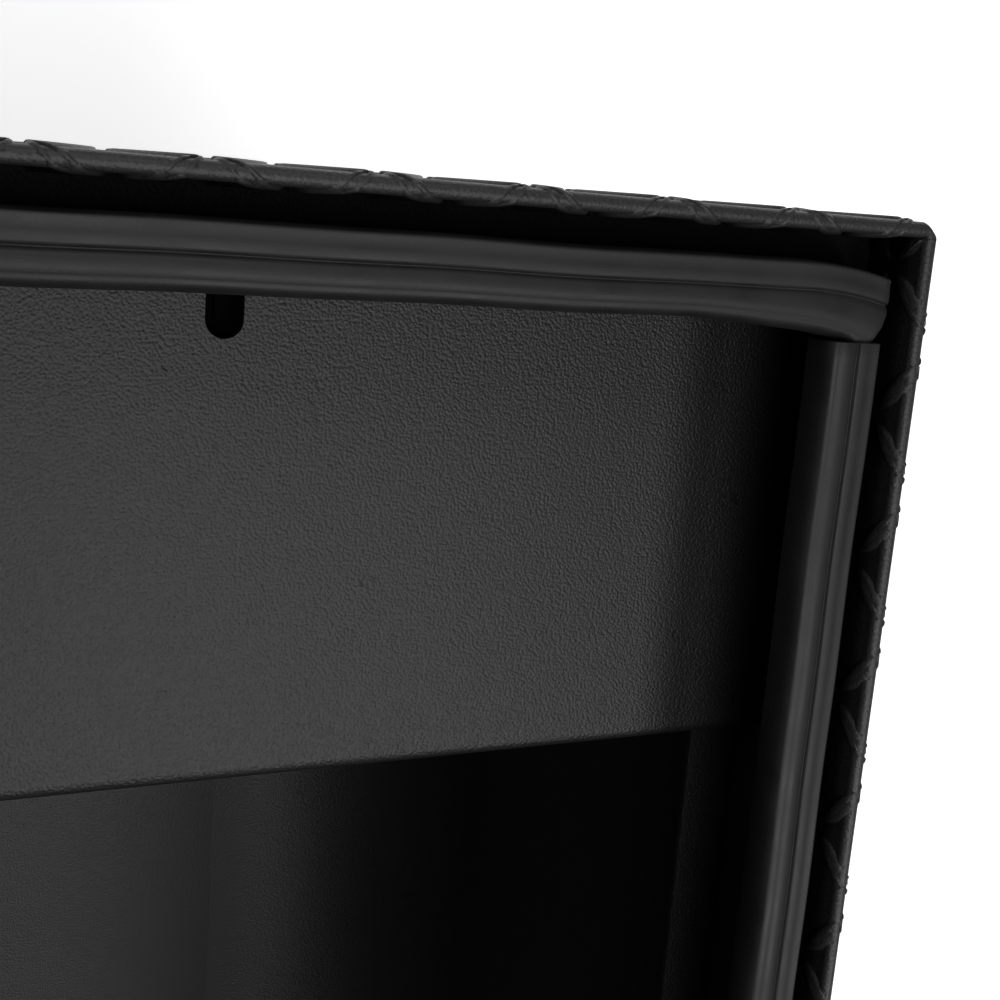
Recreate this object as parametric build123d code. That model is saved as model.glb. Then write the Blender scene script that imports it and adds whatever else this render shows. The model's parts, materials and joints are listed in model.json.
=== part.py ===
"""Crossover truck tool box, lid open.

The box lies across a pickup bed: X runs along its length, -Y is the side that opens, +Y the hinged side.
The origin is the centre of the tub's bottom face. The lid and struts are modelled where they stand open.
"""

from build123d import *
from math import cos, hypot, radians, sin
import os

# Overall size
LENGTH, WIDTH, RIM = 1778.0, 508.0, 370.0
WALL = 1.5          # body sheet
FLOOR = 2.0         # floor, saddle and lid sheet
SADDLE_DEPTH = 50.0  # rim to saddle shelf
SADDLE_REACH = 162.0  # end face to the drop into the tub
BEND = 4.0          # outside bend from shelf to drop wall
COVE = 100.0        # rolled bend from floor to the long walls
COVE_FLANGE = 284.0  # height of the floor pan's turned-up sides
CORNER_CUT, CORNER_CUT_DEPTH = 5.0, 9.0  # bevel on the rim's corners
MITRE_REACH = 30.0  # past the lip, where the walls' rims meet at 45 degrees

# Rim section, as distances from the outer face and depths below the rim
HEM = 4.3
GUTTER_DEPTH = 23.5
LIP_FACE, LIP_DEPTH = 18.0, 8.0
SEAL_OUT, SEAL_IN = 13.0, 26.0
SEAL_TOP, SEAL_FOOT = 3.0, 19.0
SEAL_SLOT_GAP, SEAL_ROUND = 0.3, 3.0
END_SEAL_START = 11.0
CORNER_GAP = 1.5

# Slots in the saddle shelves
SLOT_LENGTH, SLOT_WIDTH = 30.0, 10.0
SLOT_FROM_END, SLOT_FROM_CENTRE = 28.0, 71.0

DRAIN_AT, DRAIN_R = (-600.0, 600.0), 12.0

# Tray and its rails
RAIL_DEPTH, RAIL_REACH, RAIL_DROP = 62.0, 20.0, 22.0
TRAY_LENGTH, TRAY_DEPTH, TRAY_SHEET = 420.0, 92.0, 1.5
TRAY_SIDE_GAP, TRAY_REST_GAP = 4.0, 0.4
DIVIDER_DROP, GRIP_RISE, GRIP_SPAN, GRIP_R = 12.0, 30.0, 120.0, 4.0

# Lid
OPEN_ANGLE = 80.0
LID_RISE = 30.0
LID_OVERHANG, LID_SKIRT = 2.0, 22.0
LID_SHEET, LID_ROUND, LID_HINGE_GAP = 2.0, 4.0, 1.5
PAN_FACE, PAN_INSET = 2.6, 9.0
RIB_PITCH, RIB_WIDTH, RIB_FOOT, RIB_SHEET = 300.0, 60.0, 14.0, 1.2
LID_FIT = 0.3       # play between the lid's inner pieces and its skin

# Piano hinge
KNUCKLE_R, PIN_R, PIN_GAP = 3.5, 1.6, 0.05
LEAF, LEAF_REACH = 1.5, 26.0
KNUCKLE_PITCH, KNUCKLES, KNUCKLE_GAP = 60.0, 29, 0.5
RIVET_R, RIVET_RISE, RIVET_ROUND = 3.2, 1.4, 1.0
HINGE_Y = WIDTH / 2 + KNUCKLE_R

# Gas struts: pivots from the hinge axis, the lid end as it lies when closed
STRUT_FOOT, STRUT_HEAD = (-45.0, -36.0), (-230.0, -20.0)
STRUT_FROM_END = 60.0
TUBE_R, BORE_R, ROD_R, PISTON_R = 8.0, 6.8, 4.0, 6.6
EYE_R, EYE_T, STUD_R = 7.0, 8.0, 3.5
TUBE_START, TUBE_END, ROD_LENGTH = 12.0, 168.0, 108.0
NECK_R, BOLT_R = 4.5, 5.0
BRACKET_T, BASE_T = 3.0, 2.5

# Latches
LATCH_FROM_END = 100.0
PIVOT_DEPTH, STRIKER_DROP, STRIKER_R = 16.0, 16.0, 4.0
CLAW_T, CLAW_IN, CLAW_OUT, CLAW_HUB = 4.0, 21.0, 27.0, 9.0
CLAW_SWING, CLAW_PIN_R = 50.0, 3.0
DISH_FROM_END, DISH_X, DISH_Y, DISH_DEPTH = 75.0, 76.0, 120.0, 22.0
DISH_FLANGE, DISH_SHEET = 7.0, 1.5
PADDLE_X, PADDLE_T, PADDLE_FROM, PADDLE_TO = 54.0, 3.0, -54.0, 22.0
PADDLE_PIN_R = 1.5
LOCK_R, LOCK_NECK_R, LOCK_Y = 9.0, 5.9, 41.0

HALF_L, HALF_W = LENGTH / 2, WIDTH / 2
SHELF = RIM - SADDLE_DEPTH
DROP_X = HALF_L - SADDLE_REACH
SIDES = {"right": 1, "left": -1}
parts = {}


def block(x0, x1, y0, y1, z0, z1):
    """A box between two corners."""
    solid = Box(x1 - x0, y1 - y0, z1 - z0, align=(Align.MIN, Align.MIN, Align.MIN))
    return Pos(x0, y0, z0) * solid


def rod(start, end, radius):
    """A round bar from one point to another."""
    start, end = Vector(*start), Vector(*end)
    plane = Plane(origin=start, z_dir=end - start)
    return extrude(plane * Circle(radius), (end - start).length)


def face(points):
    """A flat face inside a closed outline of straight sides."""
    return make_face(Polyline(*points, close=True))


def prism_yz(points, x0, x1):
    """An outline in Y and Z, run from x0 to x1."""
    plane = Plane(origin=(x0, 0, 0), x_dir=(0, 1, 0), z_dir=(1, 0, 0))
    return extrude(plane * face(points), x1 - x0)


def prism_xz(points, y0, y1):
    """An outline in X and Z, run from y0 to y1."""
    plane = Plane(origin=(0, y1, 0), x_dir=(1, 0, 0), z_dir=(0, -1, 0))
    return extrude(plane * face(points), y1 - y0)


def opened(shape):
    """A lid piece, drawn closed, swung up about the hinge pin."""
    return shape.rotate(Axis((0, HINGE_Y, RIM), (1, 0, 0)), -OPEN_ANGLE)


def both_ends(name, shape):
    """A piece of the right end, and its mirror image on the left."""
    parts[f"{name}_right"] = shape
    parts[f"{name}_left"] = mirror(shape, about=Plane.YZ)


# Walls with a hemmed rim, a drip gutter and the lip that carries the seal


def rim_section(foot):
    """The folded wall: outer leg, hem, return leg, gutter and lip."""
    inner = HEM - WALL
    shoulder = RIM - HEM / 2
    gutter = RIM - GUTTER_DEPTH
    under = gutter - WALL
    top = RIM - LIP_DEPTH
    lip = LIP_FACE + WALL
    outline = [
        Line((0, foot), (0, shoulder)),
        ThreePointArc((0, shoulder), (HEM / 2, RIM), (HEM, shoulder)),
        Polyline((HEM, shoulder), (HEM, gutter), (LIP_FACE, gutter), (LIP_FACE, top)),
        Polyline((LIP_FACE, top), (lip, top), (lip, under)),
        Polyline((lip, under), (inner, under), (inner, shoulder)),
        ThreePointArc((inner, shoulder), (HEM / 2, RIM - WALL), (WALL, shoulder)),
        Polyline((WALL, shoulder), (WALL, foot), (0, foot)),
    ]
    return make_face([edge for piece in outline for edge in piece.edges()])


def corner_bevel():
    """What the bevel takes off the hem at the right front corner."""
    cut = CORNER_CUT
    plan = face([(HALF_L + 1, -HALF_W - 1), (HALF_L + 1, cut + 1 - HALF_W), (HALF_L - cut - 1, -HALF_W - 1)])
    return Pos(0, 0, RIM - CORNER_CUT_DEPTH) * extrude(plan, CORNER_CUT_DEPTH + 1)


def long_wall():
    """The wall on -Y: a full-length band at the rim over a tub-length skirt."""
    plane = Plane(origin=(-HALF_L, -HALF_W, 0), x_dir=(0, 1, 0), z_dir=(1, 0, 0))
    band = extrude(plane * rim_section(SHELF - FLOOR), LENGTH)
    x, y = HALF_L - MITRE_REACH, MITRE_REACH - HALF_W
    plan = face([(-HALF_L, -HALF_W), (HALF_L, -HALF_W), (x, y), (-x, y)])
    band &= extrude(plan, RIM + 1)
    for side in SIDES.values():
        x0, x1 = sorted((side * (HALF_L - SEAL_IN - CORNER_GAP), side * HALF_L))
        y0 = LIP_FACE - 1 - HALF_W
        band -= block(x0, x1, y0, y0 + 10, RIM - GUTTER_DEPTH, RIM)
    band -= corner_bevel()
    band -= mirror(corner_bevel(), about=Plane.YZ)
    skirt = block(-DROP_X, DROP_X, -HALF_W, WALL - HALF_W, COVE + FLOOR, SHELF - FLOOR)
    return band + skirt


def end_wall():
    """The shallow wall over the right saddle."""
    plane = Plane(origin=(HALF_L, -HALF_W, 0), x_dir=(-1, 0, 0), z_dir=(0, 1, 0))
    band = extrude(plane * rim_section(SHELF - FLOOR), WIDTH)
    x, y = HALF_L - MITRE_REACH, HALF_W - MITRE_REACH
    plan = face([(HALF_L, -HALF_W), (HALF_L, HALF_W), (x, y), (x, -y)])
    band &= extrude(plan, RIM + 1)
    return band - corner_bevel() - mirror(corner_bevel(), about=Plane.XZ)


def saddle():
    """The right shelf and the wall that drops from it to the floor, one bent sheet with two slots."""
    outer, drop, under = HALF_L - WALL, DROP_X - FLOOR, SHELF - FLOOR
    outline = face([(outer, under), (outer, SHELF), (drop, SHELF), (drop, 0), (DROP_X, 0), (DROP_X, under)])
    bent = fillet(outline.vertices().sort_by(lambda v: hypot(v.X - drop, v.Y - SHELF))[:1], BEND)
    bent = fillet(bent.vertices().sort_by(lambda v: hypot(v.X - DROP_X, v.Y - under))[:1], BEND - FLOOR)
    plane = Plane(origin=(0, HALF_W - WALL, 0), x_dir=(1, 0, 0), z_dir=(0, -1, 0))
    sheet = extrude(plane * bent, WIDTH - 2 * WALL)
    for y in (-SLOT_FROM_CENTRE, SLOT_FROM_CENTRE):
        plan = Pos(HALF_L - SLOT_FROM_END, y, SHELF - 2 * FLOOR) * SlotOverall(SLOT_LENGTH, SLOT_WIDTH)
        sheet -= extrude(plan, 4 * FLOOR)
    edge = HALF_W - WALL
    for low, high, middle in ((-edge - 1, COVE - edge, COVE - edge), (edge - COVE, edge + 1, edge - COVE)):
        corner = block(DROP_X - 2 * FLOOR, DROP_X + FLOOR, low, high, -1, COVE)
        sheet -= corner - rod((DROP_X - 3 * FLOOR, middle, COVE), (DROP_X + 2 * FLOOR, middle, COVE), COVE)
    return sheet


def seal_section():
    """A pinch-on seal: a rounded bulb with a slot for the lip."""
    low, high = RIM - SEAL_FOOT, RIM - SEAL_TOP
    middle = Pos((SEAL_OUT + SEAL_IN) / 2, (low + high) / 2)
    bulb = middle * RectangleRounded(SEAL_IN - SEAL_OUT, high - low, SEAL_ROUND)
    slot_w = WALL + 2 * SEAL_SLOT_GAP
    slot_h = SEAL_FOOT - LIP_DEPTH + SEAL_SLOT_GAP
    return bulb - Pos(LIP_FACE + WALL / 2, low + slot_h / 2 - 1) * Rectangle(slot_w, slot_h + 2)


def seals():
    """End lengths run corner to corner; the long ones butt against them."""
    start = HALF_L - SEAL_IN - CORNER_GAP
    plane = Plane(origin=(-start, -HALF_W, 0), x_dir=(0, 1, 0), z_dir=(1, 0, 0))
    front = extrude(plane * seal_section(), 2 * start)
    parts["seal_front"] = front
    parts["seal_rear"] = mirror(front, about=Plane.XZ)
    run = WIDTH - 2 * END_SEAL_START
    plane = Plane(origin=(HALF_L, -run / 2, 0), x_dir=(-1, 0, 0), z_dir=(0, 1, 0))
    both_ends("seal", extrude(plane * seal_section(), run))


# Tray and rails


def tray_and_rails():
    """A tray hung by its flanges from a rail on each long wall, parked at the left."""
    top = RIM - RAIL_DEPTH
    y_wall, y_edge = WALL - HALF_W, RAIL_REACH - HALF_W
    end = DROP_X - FLOOR - 0.5
    angle = [(y_wall, top), (y_edge, top), (y_edge, top - WALL), (y_wall + WALL, top - WALL)]
    angle += [(y_wall + WALL, top - RAIL_DROP), (y_wall, top - RAIL_DROP)]
    parts["rail_front"] = prism_yz(angle, -end, end)
    parts["rail_rear"] = mirror(parts["rail_front"], about=Plane.XZ)
    x0 = BEND - DROP_X
    x1 = x0 + TRAY_LENGTH
    half = -y_edge - TRAY_SIDE_GAP
    base = top + TRAY_REST_GAP
    tray = block(x0, x1, -half, half, base - TRAY_DEPTH, base + TRAY_SHEET)
    wide = half + RAIL_REACH - WALL - 1
    tray += block(x0, x1, -wide, wide, base, base + TRAY_SHEET)
    s = TRAY_SHEET
    tray -= block(x0 + s, x1 - s, s - half, half - s, base - TRAY_DEPTH + s, base + 3 * s)
    parts["tray"] = tray
    divider_top = base - DIVIDER_DROP
    divider = block(x0 + s + 0.2, x1 - s - 0.2, -s / 2, s / 2, base - TRAY_DEPTH + s, divider_top)
    parts["tray_divider"] = divider
    mid = (x0 + x1) / 2
    grip_z = base + GRIP_RISE
    end_x = GRIP_SPAN / 2 + GRIP_R
    grip = rod((mid - end_x, 0, grip_z), (mid + end_x, 0, grip_z), GRIP_R)
    for x in (mid - GRIP_SPAN / 2, mid + GRIP_SPAN / 2):
        grip += rod((x, 0, divider_top), (x, 0, grip_z), GRIP_R)
    parts["tray_handle"] = grip


# Lid


def dish_cut(oversize):
    """The right dish's outline through the lid skin."""
    x = HALF_L - DISH_FROM_END
    half_x, half_y = DISH_X / 2 + oversize, DISH_Y / 2 + oversize
    return block(x - half_x, x + half_x, -half_y, half_y, RIM + 5, RIM + LID_RISE + 5)


def lid_skin():
    """The outer lid: a shallow pan turned down over three sides, with a short flange at the hinge."""
    x_in, y_in, top = HALF_L + LID_OVERHANG, HALF_W + LID_OVERHANG, RIM + LID_RISE
    x_out, y_out = x_in + LID_SHEET, y_in + LID_SHEET
    skin = block(-x_out, x_out, -y_out, HALF_W, RIM - LID_SKIRT, top)
    edges = skin.edges()
    rounded = edges.filter_by(Axis.X).group_by(Axis.Z)[-1] + edges.filter_by(Axis.Y).group_by(Axis.Z)[-1]
    skin = fillet(rounded + edges.filter_by(Axis.Z), LID_ROUND)
    skin -= block(-x_in, x_in, -y_in, HALF_W - LID_SHEET, 0, top - LID_SHEET)
    skin -= block(-x_in, x_in, HALF_W - 20, HALF_W + 1, 0, RIM + LID_HINGE_GAP)
    skin -= block(-LENGTH, LENGTH, HALF_W - 5, HALF_W + 1, 0, RIM + LID_HINGE_GAP)
    for cut in (dish_cut(0.3), mirror(dish_cut(0.3), about=Plane.YZ)):
        skin -= cut
    return skin


def lid_pan():
    """The inner lid pan, which lands on the seal."""
    x, y = HALF_L - PAN_INSET, HALF_W - PAN_INSET
    low, high = RIM - PAN_FACE, RIM + LID_RISE - LID_SHEET - LID_FIT
    inside = block(WALL - x, x - WALL, WALL - y, y - WALL, low + WALL, high + 1)
    return block(-x, x, -y, y, low, high) - inside


def lid_ribs():
    """Hat-section ribs across the lid, between the pan and the skin."""
    low, high = RIM - PAN_FACE + WALL, RIM + LID_RISE - LID_SHEET - LID_FIT
    t = RIB_SHEET
    half = HALF_W - PAN_INSET - WALL - 1
    ribs = []
    for i in (-2, -1, 0, 1, 2):
        x = i * RIB_PITCH
        a, b = RIB_WIDTH / 2, RIB_WIDTH / 2 - RIB_FOOT
        c = b + t
        points = [(x - a, low), (x - b, low), (x - b, high - t)]
        points += [(x + b, high - t), (x + b, low), (x + a, low)]
        points += [(x + a, low + t), (x + c, low + t), (x + c, high)]
        points += [(x - c, high), (x - c, low + t), (x - a, low + t)]
        ribs.append(prism_xz(points, -half, half))
    return Compound(children=ribs)


# Hinge


def hinge():
    """A piano hinge: alternate knuckles on a body leaf and a lid leaf, round one long pin."""
    total = KNUCKLES * KNUCKLE_PITCH
    x0 = -total / 2
    leaves = {0: block(x0, -x0, HALF_W, HALF_W + LEAF, RIM - LEAF_REACH, RIM - KNUCKLE_R - KNUCKLE_GAP)}
    leaves[1] = block(x0, -x0, HALF_W, HALF_W + LEAF, RIM + KNUCKLE_R + KNUCKLE_GAP, RIM + LEAF_REACH)
    for i in range(KNUCKLES):
        a = x0 + i * KNUCKLE_PITCH + KNUCKLE_GAP / 2
        b = a + KNUCKLE_PITCH - KNUCKLE_GAP
        way = 1 if i % 2 else -1
        z0, z1 = sorted((RIM, RIM + way * (KNUCKLE_R + 1)))
        knuckle = rod((a, HINGE_Y, RIM), (b, HINGE_Y, RIM), KNUCKLE_R)
        leaves[i % 2] += knuckle + block(a, b, HALF_W, HALF_W + LEAF, z0, z1)
    bore = rod((x0 - 1, HINGE_Y, RIM), (1 - x0, HINGE_Y, RIM), PIN_R + PIN_GAP)
    parts["hinge_body_leaf"] = leaves[0] - bore
    parts["hinge_lid_leaf"] = opened(leaves[1] - bore)
    parts["hinge_pin"] = rod((x0 - 2, HINGE_Y, RIM), (2 - x0, HINGE_Y, RIM), PIN_R)
    heads = {"hinge_body_rivets": -1, "hinge_lid_rivets": 1}
    for name, way in heads.items():
        z = RIM + way * (LEAF_REACH * 0.6)
        y = HALF_W + LEAF
        dome = rod((0, y, z), (0, y + RIVET_RISE, z), RIVET_R)
        dome = fillet(dome.edges().sort_by(Axis.Y)[-1:], RIVET_ROUND)
        group = [Pos(x0 + (i + 0.5) * KNUCKLE_PITCH, 0, 0) * dome for i in range(KNUCKLES)]
        group = Compound(children=group)
        parts[name] = opened(group) if way > 0 else group


# Struts


def turned(point):
    """Where a point given from the hinge axis goes as the lid opens."""
    a = radians(-OPEN_ANGLE)
    return (point[0] * cos(a) - point[1] * sin(a), point[0] * sin(a) + point[1] * cos(a))


def struts():
    """A gas strut over each saddle, at full stretch."""
    x = HALF_L - STRUT_FROM_END
    head = turned(STRUT_HEAD)
    dy, dz = head[0] - STRUT_FOOT[0], head[1] - STRUT_FOOT[1]
    length = hypot(dy, dz)
    foot_y, foot_z = HINGE_Y + STRUT_FOOT[0], RIM + STRUT_FOOT[1]

    def along(s, dx=0.0):
        return (x + dx, foot_y + dy / length * s, foot_z + dz / length * s)

    half = EYE_T / 2
    tube = rod(along(0, -half), along(0, half), EYE_R)
    tube += rod(along(4), along(TUBE_START + 4), NECK_R)
    tube += rod(along(TUBE_START), along(TUBE_END), TUBE_R)
    tube -= rod(along(0, -half - 1), along(0, half + 1), STUD_R + PIN_GAP)
    tube -= rod(along(TUBE_START + 6), along(TUBE_END - 4), BORE_R)
    tube -= rod(along(TUBE_END - 6), along(TUBE_END + 1), ROD_R + PIN_GAP)
    both_ends("strut_tube", tube)
    shaft = rod(along(length - ROD_LENGTH), along(length - 3), ROD_R)
    shaft += rod(along(length - ROD_LENGTH), along(length - ROD_LENGTH + 6), PISTON_R)
    shaft += rod(along(length, -half), along(length, half), EYE_R)
    shaft += rod(along(length, -half - BASE_T), along(length, -half), BOLT_R)
    both_ends("strut_rod", shaft)
    near, far = x + half + 0.5, x + half + 0.5 + BRACKET_T
    low_z, high_z = SHELF + FLOOR, foot_z + 8
    plate = [(foot_y - 11, low_z), (foot_y + 11, low_z), (foot_y + 8, high_z), (foot_y - 8, high_z)]
    mount = prism_yz(plate, near, far)
    mount += block(near - 22, far, foot_y - 15, foot_y + 15, SHELF, SHELF + BASE_T)
    mount += rod((x - half - 0.5, foot_y, foot_z), (near + 0.5, foot_y, foot_z), STUD_R)
    mount += rod((x - half - BASE_T, foot_y, foot_z), (x - half - 0.5, foot_y, foot_z), BOLT_R)
    both_ends("strut_mount", mount)
    head_y, head_z = HINGE_Y + STRUT_HEAD[0], RIM + STRUT_HEAD[1]
    face_z = RIM - PAN_FACE
    plate = [(head_y - 12, face_z), (head_y + 12, face_z), (head_y + 7, head_z - 7), (head_y - 7, head_z - 7)]
    bracket = prism_yz(plate, near, far)
    bracket += block(near, far + 18, head_y - 14, head_y + 14, face_z - BASE_T, face_z)
    bracket += rod((far, head_y, head_z), (far + BASE_T, head_y, head_z), BOLT_R)
    both_ends("strut_bracket", opened(bracket))


# Latches


def latches():
    """At each end: a striker on the saddle, and on the lid a rotary claw, a recessed paddle and a lock."""
    x, z = HALF_L - LATCH_FROM_END, RIM - PIVOT_DEPTH
    bar_z = z - STRIKER_DROP
    post = CLAW_T / 2 + 4.5
    wide = post + BASE_T
    striker = rod((x, -wide, bar_z), (x, wide, bar_z), STRIKER_R)
    striker += block(x - 14, x + 14, -wide, wide, SHELF, SHELF + BASE_T)
    for y in (-wide, post):
        striker += block(x - 6, x + 6, y, y + BASE_T, SHELF, bar_z + 6)
    both_ends("striker", striker)

    cheek = CLAW_T / 2 + 0.5
    face_z = RIM - PAN_FACE
    frame = block(x - 20, x + 20, -cheek - 1.5, cheek + 1.5, face_z - 2, face_z)
    for y in (-cheek - 1.5, cheek):
        frame += block(x - 10, x + 10, y, y + 1.5, z - 8, face_z)
    frame += rod((x, -cheek - 1, z), (x, cheek + 1, z), CLAW_PIN_R)
    both_ends("latch_frame", opened(frame))

    def polar(radius, angle):
        a = radians(angle)
        return (x + radius * sin(a), z - radius * cos(a))

    start, stop, steps = CLAW_SWING - 25, CLAW_SWING + 60, 12
    angles = [start + (stop - start) * i / steps for i in range(steps + 1)]
    arc = [polar(CLAW_OUT, a) for a in angles]
    arc += [polar(CLAW_IN, a) for a in reversed(angles)]
    arm = [polar(CLAW_OUT - 1, stop), polar(4, stop + 60), polar(4, stop - 80), polar(CLAW_IN + 1, stop - 20)]
    half = CLAW_T / 2
    claw = prism_xz(arc, -half, half) + prism_xz(arm, -half, half)
    claw += rod((x, -half, z), (x, half, z), CLAW_HUB)
    claw -= rod((x, -half - 1, z), (x, half + 1, z), CLAW_PIN_R + PIN_GAP)
    both_ends("latch_claw", opened(claw))

    cx, top = HALF_L - DISH_FROM_END, RIM + LID_RISE
    hx, hy, s = DISH_X / 2, DISH_Y / 2, DISH_SHEET
    dish = block(cx - hx, cx + hx, -hy, hy, top - DISH_DEPTH, top + s)
    rim_x, rim_y = hx + DISH_FLANGE, hy + DISH_FLANGE
    dish += block(cx - rim_x, cx + rim_x, -rim_y, rim_y, top, top + s)
    dish = fillet(dish.edges().filter_by(Axis.Z), 3.0)
    dish -= block(cx - hx + s, cx + hx - s, s - hy, hy - s, top - DISH_DEPTH + s, top + s + 1)
    dish -= rod((cx, LOCK_Y, top - DISH_DEPTH - 1), (cx, LOCK_Y, top), LOCK_NECK_R + 0.1)
    hinge_x, hinge_z = cx - PADDLE_X / 2, top - 3.0
    y0, y1 = PADDLE_FROM, PADDLE_TO
    dish += rod((hinge_x, s / 2 - hy, hinge_z), (hinge_x, y1 + 6, hinge_z), PADDLE_PIN_R)
    dish += block(hinge_x - 3, hinge_x + 3, y1 + 2, y1 + 6, top - DISH_DEPTH, top - 1)
    both_ends("latch_dish", opened(dish))

    paddle = block(hinge_x, cx + PADDLE_X / 2, y0, y1, hinge_z - PADDLE_T / 2, hinge_z + PADDLE_T / 2)
    paddle += rod((hinge_x, y0, hinge_z), (hinge_x, y1, hinge_z), 3.0)
    lip_x = cx + PADDLE_X / 2
    paddle += block(lip_x - 2.5, lip_x, y0, y1, hinge_z - 7, hinge_z)
    paddle -= rod((hinge_x, y0 - 1, hinge_z), (hinge_x, y1 + 1, hinge_z), PADDLE_PIN_R + PIN_GAP)
    both_ends("latch_paddle", opened(paddle))

    base = top - DISH_DEPTH
    plug = rod((cx, LOCK_Y, base + s), (cx, LOCK_Y, top - 4), LOCK_R)
    plug += rod((cx, LOCK_Y, base - 5), (cx, LOCK_Y, base + s), LOCK_NECK_R)
    plug -= block(cx - 0.8, cx + 0.8, LOCK_Y - 4, LOCK_Y + 4, top - 12, top)
    both_ends("lock_cylinder", opened(plug))


def drain_plugs():
    """A rubber plug in the floor near each end of the tub."""
    plugs = []
    for x in DRAIN_AT:
        head = rod((x, 0, FLOOR), (x, 0, FLOOR + 4), DRAIN_R + 4)
        head = fillet(head.edges().sort_by(Axis.Z)[-1:], 2.0)
        plugs.append(head + rod((x, 0, 0.5), (x, 0, FLOOR), DRAIN_R - 0.2))
    return Compound(children=plugs)


def tub_floor():
    """The bottom pan, rolled up along both long walls, with a drain hole near each end."""
    x, y = DROP_X - FLOOR, HALF_W - WALL
    outer = block(-x, x, -y, y, 0, COVE_FLANGE)
    outer = fillet(outer.edges().filter_by(Axis.X).group_by(Axis.Z)[0], COVE)
    inner = block(-x - 1, x + 1, FLOOR - y, y - FLOOR, FLOOR, COVE_FLANGE + COVE)
    inner = fillet(inner.edges().filter_by(Axis.X).group_by(Axis.Z)[0], COVE - FLOOR)
    sheet = outer - inner
    for hole in DRAIN_AT:
        sheet -= rod((hole, 0, -1), (hole, 0, FLOOR + 1), DRAIN_R)
    return sheet


parts["front_wall"] = long_wall()
parts["rear_wall"] = mirror(parts["front_wall"], about=Plane.XZ)
both_ends("end_wall", end_wall())
both_ends("saddle", saddle())
parts["tub_floor"] = tub_floor()
parts["drain_plugs"] = drain_plugs()
seals()
tray_and_rails()
parts["lid_skin"] = opened(lid_skin())
parts["lid_pan"] = opened(lid_pan())
parts["lid_ribs"] = opened(lid_ribs())
hinge()
struts()
latches()

os.makedirs("parts", exist_ok=True)
for name, shape in parts.items():
    export_step(shape, f"parts/{name}.step")
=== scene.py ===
"""Looks of the crossover truck tool box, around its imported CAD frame. Metres, in the frame's own axes."""
import json
import math

import bpy
import numpy as np
from mathutils import Matrix, Vector


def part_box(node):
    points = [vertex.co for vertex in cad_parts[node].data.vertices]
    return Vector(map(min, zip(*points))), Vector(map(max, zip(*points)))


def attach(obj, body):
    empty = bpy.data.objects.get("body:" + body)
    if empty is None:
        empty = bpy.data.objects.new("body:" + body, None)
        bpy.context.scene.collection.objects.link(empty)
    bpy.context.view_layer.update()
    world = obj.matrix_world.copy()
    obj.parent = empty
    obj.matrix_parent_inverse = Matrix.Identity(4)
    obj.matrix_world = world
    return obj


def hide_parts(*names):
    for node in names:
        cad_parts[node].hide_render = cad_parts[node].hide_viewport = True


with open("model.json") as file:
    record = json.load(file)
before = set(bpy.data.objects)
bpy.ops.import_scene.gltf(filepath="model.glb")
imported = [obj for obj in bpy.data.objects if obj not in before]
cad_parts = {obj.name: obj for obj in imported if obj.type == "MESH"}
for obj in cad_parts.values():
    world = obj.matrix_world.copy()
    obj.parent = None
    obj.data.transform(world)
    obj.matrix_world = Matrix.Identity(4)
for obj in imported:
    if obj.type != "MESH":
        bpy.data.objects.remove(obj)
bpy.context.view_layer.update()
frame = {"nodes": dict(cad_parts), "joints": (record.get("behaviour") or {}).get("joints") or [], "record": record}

MM = 0.001

# Places read from the frame
WALL_LOW, WALL_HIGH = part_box("front_wall")
HALF_L, HALF_W, RIM = WALL_HIGH.x, -WALL_LOW.y, WALL_HIGH.z
SADDLE_LOW, SADDLE_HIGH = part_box("saddle_right")
SADDLE_SHEET = 2 * MM
SHELF, DROP_X = SADDLE_HIGH.z, SADDLE_LOW.x + SADDLE_SHEET
LID = next(j for j in frame["joints"] if j["name"] == "lid_hinge")
LID_PIVOT = Vector(LID["pos_m"])
LID_ANGLE = math.radians(LID["range_deg"][1])

# Rim section, as in the walls
HEM = 4.3 * MM
GUTTER_DEPTH = 23.5 * MM

# Tread bars: the size of one, and the pitch from one to the next on each kind of sheet
BAR_LENGTH, BAR_WIDTH, BAR_HEIGHT = 24 * MM, 5.8 * MM, 1.05 * MM
BAR_MARGIN = BAR_LENGTH * 0.28  # how far past a sheet's edge the middle of a cut bar may lie
PITCH_LONG, PITCH_END, PITCH_LID = 21 * MM, 19.2 * MM, 20 * MM
CORNER_CUT = 4.5 * MM  # no bar lies nearer to a wall's corner
FIRST_LONG, FIRST_END = 23 * MM, 16.6 * MM  # from the corner to the first bar of the crest's row
CREST_ROW = 3 * MM  # from the hem's crest in to that row
PRESSED, PRESSED_REACH = 0.4, 7 * MM  # share of a bar's height left at the crest, and how far that is felt

# Lid skin, as in the CAD
LID_RISE, LID_SKIRT, LID_FRONT, LID_ROUND = 30 * MM, 22 * MM, 4 * MM, 4 * MM
HINGE_GAP = 1.5 * MM
DISH_REACH = 69 * MM  # from the lid's middle to clear of the latch dishes' flanges

# Slots in the shelves, and the rubber flaps under them, whose near-black, shineless rubber is painted shade in the
# slots
SLOT_FROM_END, SLOT_FROM_CENTRE = 28 * MM, 71 * MM
FLAP_ACROSS, FLAP_ALONG, FLAP_THICK = 12 * MM, 22 * MM, 0.9 * MM
FLAP_DIP, FLAP_LAP = 5 * MM, 1.5 * MM

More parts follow.
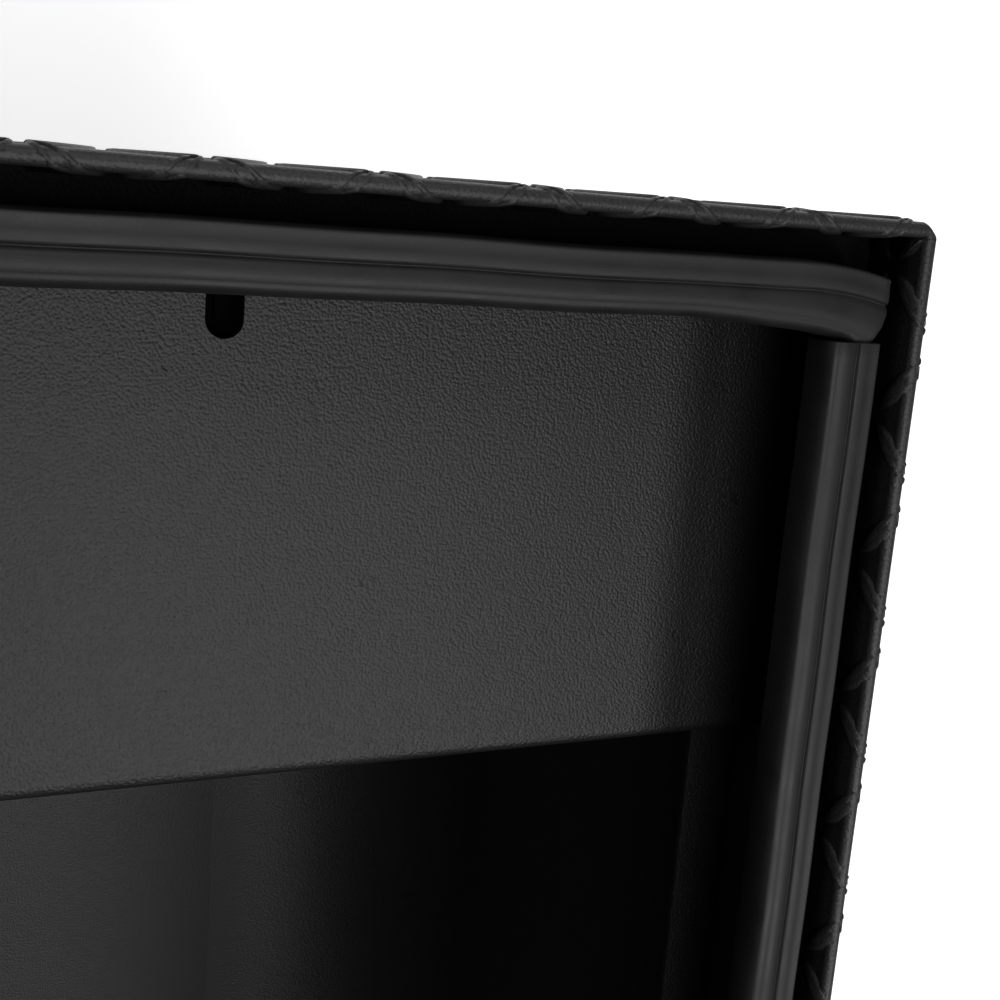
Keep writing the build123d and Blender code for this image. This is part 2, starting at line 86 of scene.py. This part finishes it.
# Camera, with the ways its back and its top point, and lamps: place, target, size in m and power in W
CAMERA_FROM = Vector((HALF_L - 5.6 * MM, -HALF_W + 269 * MM, RIM + 299 * MM))
CAMERA_BACK, CAMERA_UP = Vector((0.2040, 0.4224, 0.8831)), Vector((0.9759, -0.0167, -0.2174))
LAMPS = {
    "key": ((0.2, 0.5, 3.2), (0.5, 0, 0.3), 1.7, 34),
    "sheen": ((-0.7, -1.15, 3.1), (0.5, 0, 0.3), 1.0, 31),
    "fill": ((2.4, -0.2, 2.2), (0.8, 0, 0.3), 1.0, 10),
}
FLOOR_GLOW, SKY_GLOW = 0.6, 0.22
FLOOR_HALF = 45.0  # half the floor's width in m, so that its edge stays out of view
COAT_SHINE = 0.42


# ---------------------------------------------------------------- meshes


def new_mesh(name, verts, faces, body, material):
    """A smooth-shaded piece from vertices and faces, riding on a CAD body."""
    mesh = bpy.data.meshes.new(name)
    mesh.from_pydata([tuple(v) for v in verts], [], faces)
    mesh.validate()
    mesh.polygons.foreach_set("use_smooth", [True] * len(mesh.polygons))
    mesh.materials.append(material)
    piece = bpy.data.objects.new(name, mesh)
    bpy.context.scene.collection.objects.link(piece)
    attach(piece, body)
    return piece


def opened(points):
    """Points of the closed lid, where they lie with the lid open."""
    turn = Matrix.Rotation(-LID_ANGLE, 3, "X")
    pivot = np.array(LID_PIVOT)
    return (np.asarray(points) - pivot) @ np.array(turn).T + pivot


# ---------------------------------------------------------------- tread sheet


def folded(points, radius, steps=10):
    """A path through points in a plane with rounded corners: lengths along it, points and left-hand normals.

    A corner's arc turns by what the angle between its two straight stretches lacks of half a circle.
    """
    points = [np.array(p, float) for p in points]
    line, normals = [points[0]], []
    first = points[1] - points[0]
    normals.append(np.array((-first[1], first[0])) / np.linalg.norm(first))
    for before, corner, after in zip(points, points[1:], points[2:]):
        a = (before - corner) / np.linalg.norm(before - corner)
        b = (after - corner) / np.linalg.norm(after - corner)
        half = math.acos(np.clip(a @ b, -1, 1)) / 2
        turn = math.pi - 2 * half
        reach = radius / math.tan(half)
        centre = corner + (a + b) / np.linalg.norm(a + b) * radius / math.sin(half)
        start, end = corner + a * reach - centre, corner + b * reach - centre
        side = -np.sign(a[0] * -b[1] + a[1] * b[0]) or 1.0
        for i in range(steps + 1):
            f = i / steps
            v = start * math.sin((1 - f) * turn) + end * math.sin(f * turn)
            v = v / np.linalg.norm(v) * radius
            line.append(centre + v)
            normals.append(v / radius * side)
    last = points[-1] - points[-2]
    line.append(points[-1])
    normals.append(np.array((-last[1], last[0])) / np.linalg.norm(last))
    line, normals = np.array(line), np.array(normals)
    run = np.concatenate([[0], np.cumsum(np.linalg.norm(np.diff(line, axis=0), axis=1))])
    return run, line, normals


def along_fold(path, s):
    """Points and normals at lengths s along a folded path."""
    run, line, normals = path
    p = np.stack([np.interp(s, run, line[:, k]) for k in (0, 1)], -1)
    n = np.stack([np.interp(s, run, normals[:, k]) for k in (0, 1)], -1)
    return p, n / np.linalg.norm(n, axis=-1, keepdims=True)


# Each ring of a bar, from its foot up: size and height as shares of the bar's
RINGS = ((1.22, -0.2), (1.06, 0.06), (0.94, 0.45), (0.76, 0.86), (0.45, 0.98), (0.0, 1.0))
PLAIN_RINGS = ((1.15, -0.1), (0.96, 0.4), (0.7, 0.9), (0.0, 1.0))


def bar_template(around, shape):
    """One tread bar: offsets along and across it, heights, and faces over its rings."""
    along, across, height, faces = [], [], [], []
    for scale, rise in shape:
        count = around if scale else 1
        for i in range(count):
            a = 2 * math.pi * i / count
            side = math.sin(a)
            reach = (BAR_LENGTH / 2 - BAR_WIDTH / 2 * (1 - scale)) if scale else 0
            along.append(math.cos(a) * reach)
            across.append(side * abs(side) ** 0.25 * BAR_WIDTH / 2 * scale)
            height.append(rise * BAR_HEIGHT)
    rings = len(shape) - 1
    for r in range(rings - 1):
        for i in range(around):
            j = (i + 1) % around
            faces.append((r * around + i, r * around + j, (r + 1) * around + j, (r + 1) * around + i))
    top = rings * around
    last = top - around
    for i in range(around):
        faces.append((last + i, last + (i + 1) % around, top))
    faces.append(tuple(range(around - 1, -1, -1)))
    return np.array(along), np.array(across), np.array(height), faces


def tread(name, place, t_range, s_range, body, pitch, around, phase=(0.0, 0.0), keep=None, shape=RINGS):
    """Raised bars over a folded sheet, in a checkerboard of two diagonals about the bar at phase.

    place(t, s, height) gives points; keep(t, s) gives the lowest and highest s and t for a bar there.
    """
    along, across, height, faces = bar_template(around, shape)
    verts, all_faces = [], []
    t0, t1 = t_range
    s0, s1 = s_range
    i0, i1 = math.floor((t0 - phase[0]) / pitch), math.ceil((t1 - phase[0]) / pitch)
    j0, j1 = math.floor((s0 - phase[1]) / pitch), math.ceil((s1 - phase[1]) / pitch)
    for i in range(i0, i1 + 1):
        for j in range(j0, j1 + 1):
            t, s = phase[0] + i * pitch, phase[1] + j * pitch
            low, high, left, right = (s0, s1, t0, t1) if keep is None else keep(t, s)
            inside = left - BAR_MARGIN < t < right + BAR_MARGIN and low - BAR_MARGIN < s < high + BAR_MARGIN
            if not inside:
                continue
            a = -math.pi / 4 if (i + j) % 2 else math.pi / 4
            tt = np.clip(t + along * math.cos(a) - across * math.sin(a), left, right)
            ss = np.clip(s + along * math.sin(a) + across * math.cos(a), low, high)
            base = len(verts) * len(along)
            verts.append(place(tt, ss, height))
            all_faces += [tuple(base + k for k in f) for f in faces]
    return new_mesh(name, np.concatenate(verts), all_faces, body, TREAD)


# ---------------------------------------------------------------- materials


class Nodes:
    """A short way to write a material's nodes."""

    def __init__(self, name):
        self.material = bpy.data.materials.new(name)
        self.material.use_nodes = True
        self.tree = self.material.node_tree
        self.shader = self.tree.nodes["Principled BSDF"]
        self.place = self.add("ShaderNodeTexCoord").outputs["Object"]

    def add(self, kind, **values):
        node = self.tree.nodes.new(kind)
        for key, value in values.items():
            if key in node.inputs:
                node.inputs[key].default_value = value
            else:
                setattr(node, key, value)
        return node

    def link(self, out, into):
        self.tree.links.new(out, into)

    def noise(self, scale, detail=3.0, rough=0.5):
        node = self.add("ShaderNodeTexNoise", Scale=scale, Detail=detail, Roughness=rough)
        self.link(self.place, node.inputs["Vector"])
        return node.outputs["Fac"]

    def pebbles(self, scale):
        node = self.add("ShaderNodeTexVoronoi", feature="SMOOTH_F1", Scale=scale)
        node.inputs["Smoothness"].default_value = 0.6
        self.link(self.place, node.inputs["Vector"])
        return node.outputs["Distance"]

    def ramp(self, value, low, high, out_low=0.0, out_high=1.0):
        node = self.add("ShaderNodeMapRange")
        for key, number in zip(("From Min", "From Max", "To Min", "To Max"), (low, high, out_low, out_high)):
            node.inputs[key].default_value = number
        self.link(value, node.inputs["Value"])
        return node.outputs["Result"]

    def math(self, operation, a, b):
        node = self.add("ShaderNodeMath", operation=operation)
        for k, value in enumerate((a, b)):
            if isinstance(value, (int, float)):
                node.inputs[k].default_value = value
            else:
                self.link(value, node.inputs[k])
        return node.outputs[0]

    def mix(self, fac, a, b):
        node = self.add("ShaderNodeMix", data_type="RGBA")
        self.link(fac, node.inputs["Factor"])
        node.inputs["A"].default_value = (*a, 1)
        node.inputs["B"].default_value = (*b, 1)
        return node.outputs["Result"]

    def gutter(self):
        """How far a point is down in a wall's gutter, from 0 at the rim to 1: the mask of the painted shade in the
        gutters.
        """
        split = self.add("ShaderNodeSeparateXYZ")
        self.link(self.place, split.inputs[0])
        depth = self.ramp(split.outputs["Z"], RIM - 5 * MM, RIM - 12 * MM)
        for axis, half in (("X", HALF_L), ("Y", HALF_W)):
            off = self.math("ABSOLUTE", split.outputs[axis], 0)
            depth = self.math("MULTIPLY", depth, self.math("LESS_THAN", off, half - 3 * MM))
        return depth

    def bump(self, height, distance):
        node = self.add("ShaderNodeBump")
        node.inputs["Distance"].default_value = distance
        node.inputs["Strength"].default_value = 1.0
        self.link(height, node.inputs["Height"])
        return node.outputs["Normal"]


def powder_coat(name, dark, light, grain, depth, rough, shade_gutters=False):
    """Black powder coat: a pebbled skin with faint mottling and a few pits.

    With its gutter switch on, painted shade darkens and dulls the hollows of the rim, standing in for the shadow
    that falls in the gutters.
    """
    n = Nodes(name)
    pebble = n.pebbles(1 / grain)
    fine = n.noise(2.2 / grain, 4, 0.6)
    patch = n.noise(9.0, 3)
    pits = n.ramp(n.noise(130.0, 2), 0.70, 0.78)
    height = n.math("ADD", n.math("MULTIPLY", pebble, -1.0), n.math("MULTIPLY", fine, 0.55))
    height = n.math("SUBTRACT", height, n.math("MULTIPLY", pits, 0.5))
    tone = n.math("ADD", n.math("MULTIPLY", fine, 0.7), n.math("MULTIPLY", patch, 0.3))
    tone = n.math("SUBTRACT", tone, n.math("MULTIPLY", pits, 0.35))
    tone = n.ramp(tone, 0.3, 0.7)
    if shade_gutters:
        # Painted shade: the gutter mask darkens the colour and cuts the shine, in place of the shadow in the rim's
        # hollows.
        gutter_shade = n.gutter()
        tone = n.math("SUBTRACT", tone, n.math("MULTIPLY", gutter_shade, 1.2))
        shine = n.ramp(gutter_shade, 0.0, 1.0, COAT_SHINE, 0.03)
        n.link(shine, n.shader.inputs["Specular IOR Level"])
    n.link(n.mix(tone, dark, light), n.shader.inputs["Base Color"])
    n.link(n.ramp(fine, 0.3, 0.7, rough - 0.06, rough + 0.08), n.shader.inputs["Roughness"])
    n.shader.inputs["Specular IOR Level"].default_value = COAT_SHINE
    n.link(n.bump(height, depth), n.shader.inputs["Normal"])
    return n.material


def rubber(name, dark, light, rough, shine=0.4):
    """Smooth extruded rubber with a dull sheen, dust and faint drag lines."""
    n = Nodes(name)
    cloud = n.noise(60.0, 5, 0.6)
    dust = n.ramp(n.noise(900.0, 2), 0.62, 0.72, 0.0, 0.35)
    fine = n.noise(2500.0, 2)
    tone = n.math("ADD", n.ramp(cloud, 0.3, 0.7), dust)
    n.link(n.mix(tone, dark, light), n.shader.inputs["Base Color"])
    n.link(n.ramp(cloud, 0.3, 0.7, rough - 0.07, rough + 0.07), n.shader.inputs["Roughness"])
    n.shader.inputs["Specular IOR Level"].default_value = shine
    n.link(n.bump(fine, 0.05 * MM), n.shader.inputs["Normal"])
    return n.material


def metal(name, dark, light, rough, metallic=1.0, scratch=0.02):
    """Plated or painted steel with fine scuffs."""
    n = Nodes(name)
    cloud = n.noise(80.0, 4, 0.6)
    fine = n.noise(1800.0, 3)
    n.link(n.mix(n.ramp(cloud, 0.3, 0.7), dark, light), n.shader.inputs["Base Color"])
    n.link(n.ramp(fine, 0.3, 0.7, rough - 0.05, rough + 0.1), n.shader.inputs["Roughness"])
    n.shader.inputs["Metallic"].default_value = metallic
    n.link(n.bump(fine, scratch * MM), n.shader.inputs["Normal"])
    return n.material


# The tread coat carries the painted gutter shade (its last argument).
TREAD = powder_coat(
    "tread_coat_look", (0.004, 0.004, 0.0042), (0.026, 0.026, 0.0265), 0.9 * MM, 0.11 * MM, 0.46, True
)
PEBBLE = powder_coat(
    "pebble_coat_look", (0.003, 0.003, 0.0032), (0.012, 0.012, 0.0123), 0.85 * MM, 0.18 * MM, 0.44
)
SEAL = rubber("seal_look", (0.010, 0.0095, 0.0095), (0.016, 0.0152, 0.0152), 0.5, 0.3)
PLUG = rubber("plug_look", (0.014, 0.014, 0.014), (0.026, 0.026, 0.026), 0.6)
# Painted shade: near black and almost without shine, so the flaps under the slots render as the shadow in them.
SLOT_SHADE_RUBBER = rubber("slot_shade_flap_look", (0.001, 0.001, 0.001), (0.002, 0.002, 0.002), 0.9, 0.02)
BLACK = metal("black_steel_look", (0.014, 0.014, 0.015), (0.030, 0.030, 0.031), 0.42, 0.0)
ZINC = metal("zinc_look", (0.42, 0.42, 0.40), (0.58, 0.58, 0.56), 0.34)
LATCH = metal("latch_look", (0.012, 0.012, 0.013), (0.022, 0.022, 0.023), 0.38, 0.0)
CHROME = metal("chrome_look", (0.52, 0.52, 0.53), (0.66, 0.66, 0.67), 0.16)
GLOSS = metal("strut_look", (0.010, 0.010, 0.011), (0.018, 0.018, 0.019), 0.28, 0.0, 0.01)
LOOKS = {
    "tread_coat": TREAD,
    "textured_coat": PEBBLE,
    "seal_rubber": SEAL,
    "plug_rubber": PLUG,
    "black_steel": BLACK,
    "zinc_steel": ZINC,
    "rivet_steel": BLACK,
    "latch_coat": LATCH,
    "lock_chrome": CHROME,
    "strut_black": GLOSS,
    "strut_chrome": CHROME,
}


def dress_nodes():
    """Gives every CAD node the look of its material slot."""
    slots = {part["node"]: part["material_slot"] for part in frame["record"]["subparts"]}
    for name, node in frame["nodes"].items():
        for slot in node.material_slots:
            slot.material = LOOKS[slots[name]]


# What the names of the nodes with softened edges begin with
SOFTENED = ("latch_", "lock_", "striker_", "strut_mount_", "strut_bracket_", "tray_handle", "lid_skin")


def soften(piece, width, segments, angle=30):
    """Rounds the edges of a piece that turn by more than an angle in degrees."""
    bevel = piece.modifiers.new("edge_softness", "BEVEL")
    bevel.width, bevel.segments = width, segments
    bevel.limit_method, bevel.angle_limit = "ANGLE", math.radians(angle)


def soften_nodes():
    """Takes the sharpness off the edges of the fittings."""
    for name, node in frame["nodes"].items():
        if name.startswith(SOFTENED):
            soften(node, 0.35 * MM, 2, 50)


# ---------------------------------------------------------------- pieces


def wall_path(face, foot):
    """The outside of a wall from foot over hem to gutter, and the length at the hem's crest."""
    path = folded([(face, foot), (face, RIM), (face - HEM, RIM), (face - HEM, RIM - GUTTER_DEPTH)], HEM / 2)
    path = (path[0], path[1], -path[2])
    return path, path[0][-1] - (GUTTER_DEPTH - HEM / 2) - math.pi * HEM / 4


def flattened(s, crest):
    """How much of a bar's height is left where the hem was pressed."""
    return PRESSED + (1 - PRESSED) * np.clip(np.abs(s - crest) / PRESSED_REACH, 0, 1) ** 1.5


def on_wall(path, crest, point):
    """How bars lie on a wall: point(t, out, z) gives points from distances along, out and up."""

    def place(t, s, h):
        p, n = along_fold(path, s)
        h = h * flattened(s, crest)
        return point(t, p[:, 0] + n[:, 0] * h, p[:, 1] + n[:, 1] * h)

    return place


def long_wall_treads():
    """Tread bars on both long walls. The skirt is as long as the tub, and the hinge covers the rear hem."""
    foot = WALL_LOW.z
    shelf = SHELF - SADDLE_SHEET - foot
    end = HALF_L - CORNER_CUT
    under_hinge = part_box("hinge_body_leaf")[0].z - 1 * MM - foot
    path, crest = wall_path(HALF_W, foot)
    for side, name, top in ((-1, "front", path[0][-1]), (1, "rear", under_hinge)):

        def point(t, out, z, side=side):
            return np.stack([t, side * out, z], -1)

        def keep(t, s, top=top):
            if s < shelf:
                return 0.0, shelf, -DROP_X, DROP_X
            return (shelf if abs(t) > DROP_X else 0.0), top, -end, end

        phase = (HALF_L - FIRST_LONG, crest + CREST_ROW)
        place = on_wall(path, crest, point)
        s_range = (0, path[0][-1])
        tread(f"tread_{name}", place, (-HALF_L, HALF_L), s_range, "box", PITCH_LONG, 16, phase, keep)


def end_wall_treads():
    """Tread bars on both end walls."""
    end = HALF_W - CORNER_CUT
    path, crest = wall_path(HALF_L, SHELF - SADDLE_SHEET)
    for side, name in ((1, "right"), (-1, "left")):

        def point(t, out, z, side=side):
            return np.stack([side * out, t, z], -1)

        phase = (FIRST_END - HALF_W, crest + CREST_ROW)
        place = on_wall(path, crest, point)
        tread(f"tread_end_{name}", place, (-end, end), (0, path[0][-1]), "box", PITCH_END, 20, phase)


# Seal section: distance in from the wall's outer face, and depth under the rim, in millimetres
SEAL_SECTION = (
    (12.3, 19.0), (12.1, 12.0), (12.3, 6.5), (12.6, 4.2), (13.0, 3.3), (13.5, 3.2), (14.2, 3.5), (16.5, 3.2),
    (18.8, 3.2), (19.5, 3.5), (19.8, 4.2), (20.2, 4.2), (20.5, 3.5), (21.5, 3.1), (23.5, 3.0), (25.4, 3.3),
    (25.9, 3.8), (26.3, 3.7), (27.6, 4.6), (28.6, 6.6), (28.9, 9.5), (28.5, 13.0), (27.3, 16.5), (25.6, 18.6),
    (23.5, 19.0),
)


def near_end(left, reach):
    """From 0 at a reach before a run's end to 1 at the end itself."""
    return max(0.0, 1 - left / reach)


def seal(name, node, place, start, end, step=4 * MM, curl=0.0):
    """A slightly wavy seal run from start to end along its wall, replacing the CAD bulb.

    With a curl the last stretch bends in, its inner flank rolls over, and its end is cut round.
    """
    count = max(8, int((end - start) / step))
    section = np.array(SEAL_SECTION) * MM
    inward, depth = section[:, 0], section[:, 1]
    rolled = np.clip((inward - 20 * MM) / (7 * MM), 0, 1) * curl * 1.3
    trimmed = np.clip((inward - 20 * MM) / (8 * MM), 0, 1) ** 2 * curl * 2
    rings, faces = [], []
    k = len(section)
    for i in range(count + 1):
        t = start + (end - start) * i / count
        wave = 0.18 * MM * math.sin(t * 41 + 1.3) + 0.12 * MM * math.sin(t * 97)
        sag = 0.10 * MM * math.sin(t * 63 + 0.4)
        bend = near_end(end - t, 30 * MM) ** 2 * curl
        roll = near_end(end - t, 62 * MM) ** 1.3 * rolled
        trim = near_end(end - t, 12 * MM) * trimmed
        rings.append(place(t - trim, inward + wave + bend + roll, depth + sag + bend * 0.3))
    for i in range(count):
        for j in range(k):
            m = (j + 1) % k
            faces.append((i * k + j, i * k + m, (i + 1) * k + m, (i + 1) * k + j))
    faces.append(tuple(range(k - 1, -1, -1)))
    faces.append(tuple(count * k + j for j in range(k)))
    piece = new_mesh(name, np.concatenate(rings), faces, "box", SEAL)
    soften(piece, 0.3 * MM, 2, 60)
    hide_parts(node)


def seals():
    """Four lengths of seal: the end ones run corner to corner, the long ones butt under them.

    Each end one curls at one corner, and the long one there stops short to leave it room.
    """
    long_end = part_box("seal_front")[1].x
    end_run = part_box("seal_right")[1].y

    def on_long(side):
        return lambda t, d, n: np.stack([t, side * (HALF_W - d), RIM - n], -1)

    def on_end(side, flip):
        return lambda t, d, n: np.stack([side * (HALF_L - d), flip * t, RIM - n], -1)

    room, step, curl = 6 * MM, 2 * MM, 3.6 * MM
    seal("seal_front_run", "seal_front", on_long(-1), -long_end, long_end - room)
    seal("seal_rear_run", "seal_rear", on_long(1), room - long_end, long_end)
    seal("seal_right_run", "seal_right", on_end(1, -1), -end_run, end_run, step, curl)
    seal("seal_left_run", "seal_left", on_end(-1, 1), -end_run, end_run, step, curl)


def corners():
    """The side along X and along Y of each corner, and its name."""
    for x_side, x_name in ((1, "right"), (-1, "left")):
        for y_side, y_name in ((-1, "front"), (1, "rear")):
            yield x_side, y_side, f"{y_name}_{x_name}"


def corner_beads():
    """A smooth weld bead that closes each bevelled corner of the rim."""
    low, high = RIM - 9 * MM, RIM - 0.5 * MM
    outer, cut, inner = 0.2 * MM, 5.2 * MM, 2.7 * MM
    plan = ((outer, cut), (cut, outer), (cut, inner), (inner, cut))
    for x_side, y_side, name in corners():
        ring = [(x_side * (HALF_L - a), y_side * (HALF_W - b)) for a, b in plan]
        if x_side * y_side > 0:
            ring.reverse()
        verts = [(x, y, z) for z in (low, high) for x, y in ring]
        sides = [(i, (i + 1) % 4, 4 + (i + 1) % 4, 4 + i) for i in range(4)]
        faces = [(3, 2, 1, 0), (4, 5, 6, 7)] + sides
        piece = new_mesh(f"corner_bead_{name}", verts, faces, "box", TREAD)
        soften(piece, 0.9 * MM, 4)


def flap_lip(side, drop, base):
    """One lip of a slot flap, dished toward its free edge: its vertices, and faces numbered from base."""
    rows, columns = 16, 6
    wide = columns + 1
    verts, faces = [], []
    for i in range(rows + 1):
        u = math.pi * i / rows
        y0, y1 = -FLAP_LAP, FLAP_ACROSS * math.sin(u) ** 0.6
        for k in range(wide):
            y = y0 + (y1 - y0) * k / columns
            dip = FLAP_DIP * math.sin(u) * max(0.0, 1 - abs(y) / FLAP_ACROSS)
            for level in (0.0, -FLAP_THICK):
                verts.append(Vector((-FLAP_ALONG * math.cos(u), side * y, level - dip - drop)))
    for i in range(rows):
        for k in range(columns):
            quad = (i * wide + k, i * wide + k + 1, (i + 1) * wide + k + 1, (i + 1) * wide + k)
            for level in (0, 1):
                turned = tuple(base + 2 * q + level for q in quad)
                faces.append(turned if (side > 0) ^ (level > 0) else turned[::-1])
    edge = [i * wide for i in range(rows + 1)] + [rows * wide + k for k in range(1, wide)]
    edge += [i * wide + columns for i in range(rows - 1, -1, -1)] + list(range(columns - 1, 0, -1))
    for q, r in zip(edge, edge[1:] + edge[:1]):
        quad = (base + 2 * q, base + 2 * r, base + 2 * r + 1, base + 2 * q + 1)
        faces.append(quad if side < 0 else quad[::-1])
    return verts, faces


def slot_flaps():
    """A slit rubber flap under each mounting slot, which a bolt pushes open: two lips, one over the other. Its
    near-black rubber without shine is painted shade, so that the slot reads as a black hole.
    """
    under = SHELF - SADDLE_SHEET - 0.1 * MM
    for x_side, y_side, name in corners():
        middle = Vector((x_side * (HALF_L - SLOT_FROM_END), y_side * SLOT_FROM_CENTRE, under))
        verts, faces = flap_lip(-1, 0.0, 0)
        lapping = flap_lip(1, FLAP_THICK, len(verts))
        verts = [middle + v for v in verts + lapping[0]]
        new_mesh(f"slot_flap_{name}", verts, faces + lapping[1], "box", SLOT_SHADE_RUBBER)


def lid_treads():
    """Tread bars over the lid's top, its front skirt and its rear flange, and on its end skirts."""
    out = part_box("lid_skin")[1].x
    dish_low, dish_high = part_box("latch_dish_right")
    near_dish, past_dish = dish_low.x - 2 * MM, dish_high.x + 2 * MM
    front, top, skirt = HALF_W + LID_FRONT, RIM + LID_RISE, RIM - LID_SKIRT
    path = folded([(-front, skirt), (-front, top), (HALF_W, top), (HALF_W, RIM + HINGE_GAP)], LID_ROUND)
    start, stop = (np.interp(y, path[1][:, 0], path[0]) for y in (-DISH_REACH, DISH_REACH))
    flange_end = path[0][-1] - 24 * MM

    def place(t, s, h):
        p, n = along_fold(path, s)
        return opened(np.stack([t, p[:, 0] + n[:, 0] * h, p[:, 1] + n[:, 1] * h], -1))

    def keep(t, s):
        left, right = -out + 4 * MM, out - 4 * MM
        if start < s < stop:
            if near_dish < abs(t) < past_dish:
                return 1.0, 0.0, 0.0, 0.0
            if abs(t) <= near_dish:
                left, right = -near_dish, near_dish
            elif t > 0:
                left = past_dish
            else:
                right = -past_dish
        return 0.0, flange_end, left, right

    s_range = (0, path[0][-1])
    tread("tread_lid", place, (-out, out), s_range, "lid", PITCH_LID, 12, keep=keep, shape=PLAIN_RINGS)
    t_range, s_range = (-HALF_W, HALF_W - 6 * MM), (1 * MM, top - skirt - 5 * MM)
    for side, name in ((1, "right"), (-1, "left")):

        def place_end(t, s, h, side=side):
            return opened(np.stack([np.full_like(t, side * out) + side * h, t, skirt + s], -1))

        tread(f"tread_lid_{name}", place_end, t_range, s_range, "lid", PITCH_LID, 12)


# ---------------------------------------------------------------- camera, light, floor


def camera():
    """Looks down into the right front corner from over the box."""
    data = bpy.data.cameras.new("camera")
    data.lens, data.sensor_width = 50.0, 36.0
    data.clip_start, data.clip_end = 0.01, 50
    back = CAMERA_BACK.normalized()
    right = CAMERA_UP.cross(back).normalized()
    up = back.cross(right)
    obj = bpy.data.objects.new("camera", data)
    obj.matrix_world = Matrix.Translation(CAMERA_FROM) @ Matrix((right, up, back)).transposed().to_4x4()
    bpy.context.scene.collection.objects.link(obj)
    bpy.context.scene.camera = obj


def area_light(name, place, target, size, power):
    """A round soft lamp turned toward a target."""
    data = bpy.data.lights.new(name, "AREA")
    data.shape, data.size, data.energy = "DISK", size, power
    obj = bpy.data.objects.new(name, data)
    obj.location = place
    aim = Vector(target) - Vector(place)
    obj.rotation_euler = aim.to_track_quat("-Z", "Y").to_euler()
    bpy.context.scene.collection.objects.link(obj)


def studio():
    """A plain pale floor that glows a little, an even dim sky, and the lamps.

    The key hangs over the rear, the sheen in front to the left, and a weak fill stands on the right.
    """
    n = Nodes("floor_look")
    n.shader.inputs["Base Color"].default_value = (0.97, 0.97, 0.97, 1)
    n.shader.inputs["Roughness"].default_value = 0.9
    n.shader.inputs["Emission Color"].default_value = (1, 1, 1, 1)
    n.shader.inputs["Emission Strength"].default_value = FLOOR_GLOW
    corner_points = [(x * FLOOR_HALF, y * FLOOR_HALF, 0) for x, y in ((-1, -1), (1, -1), (1, 1), (-1, 1))]
    mesh = bpy.data.meshes.new("floor")
    mesh.from_pydata(corner_points, [], [(0, 1, 2, 3)])
    mesh.materials.append(n.material)
    floor = bpy.data.objects.new("floor", mesh)
    floor.location.z = -0.5 * MM
    bpy.context.scene.collection.objects.link(floor)
    world = bpy.data.worlds.new("sky")
    world.use_nodes = True
    sky = world.node_tree.nodes["Background"]
    sky.inputs["Color"].default_value = (1, 1, 1, 1)
    sky.inputs["Strength"].default_value = SKY_GLOW
    bpy.context.scene.world = world
    for name, lamp in LAMPS.items():
        area_light(name, *lamp)
    bpy.context.scene.view_settings.view_transform = "Standard"


camera()
dress_nodes()
soften_nodes()
long_wall_treads()
end_wall_treads()
seals()
corner_beads()
slot_flaps()
lid_treads()
studio()
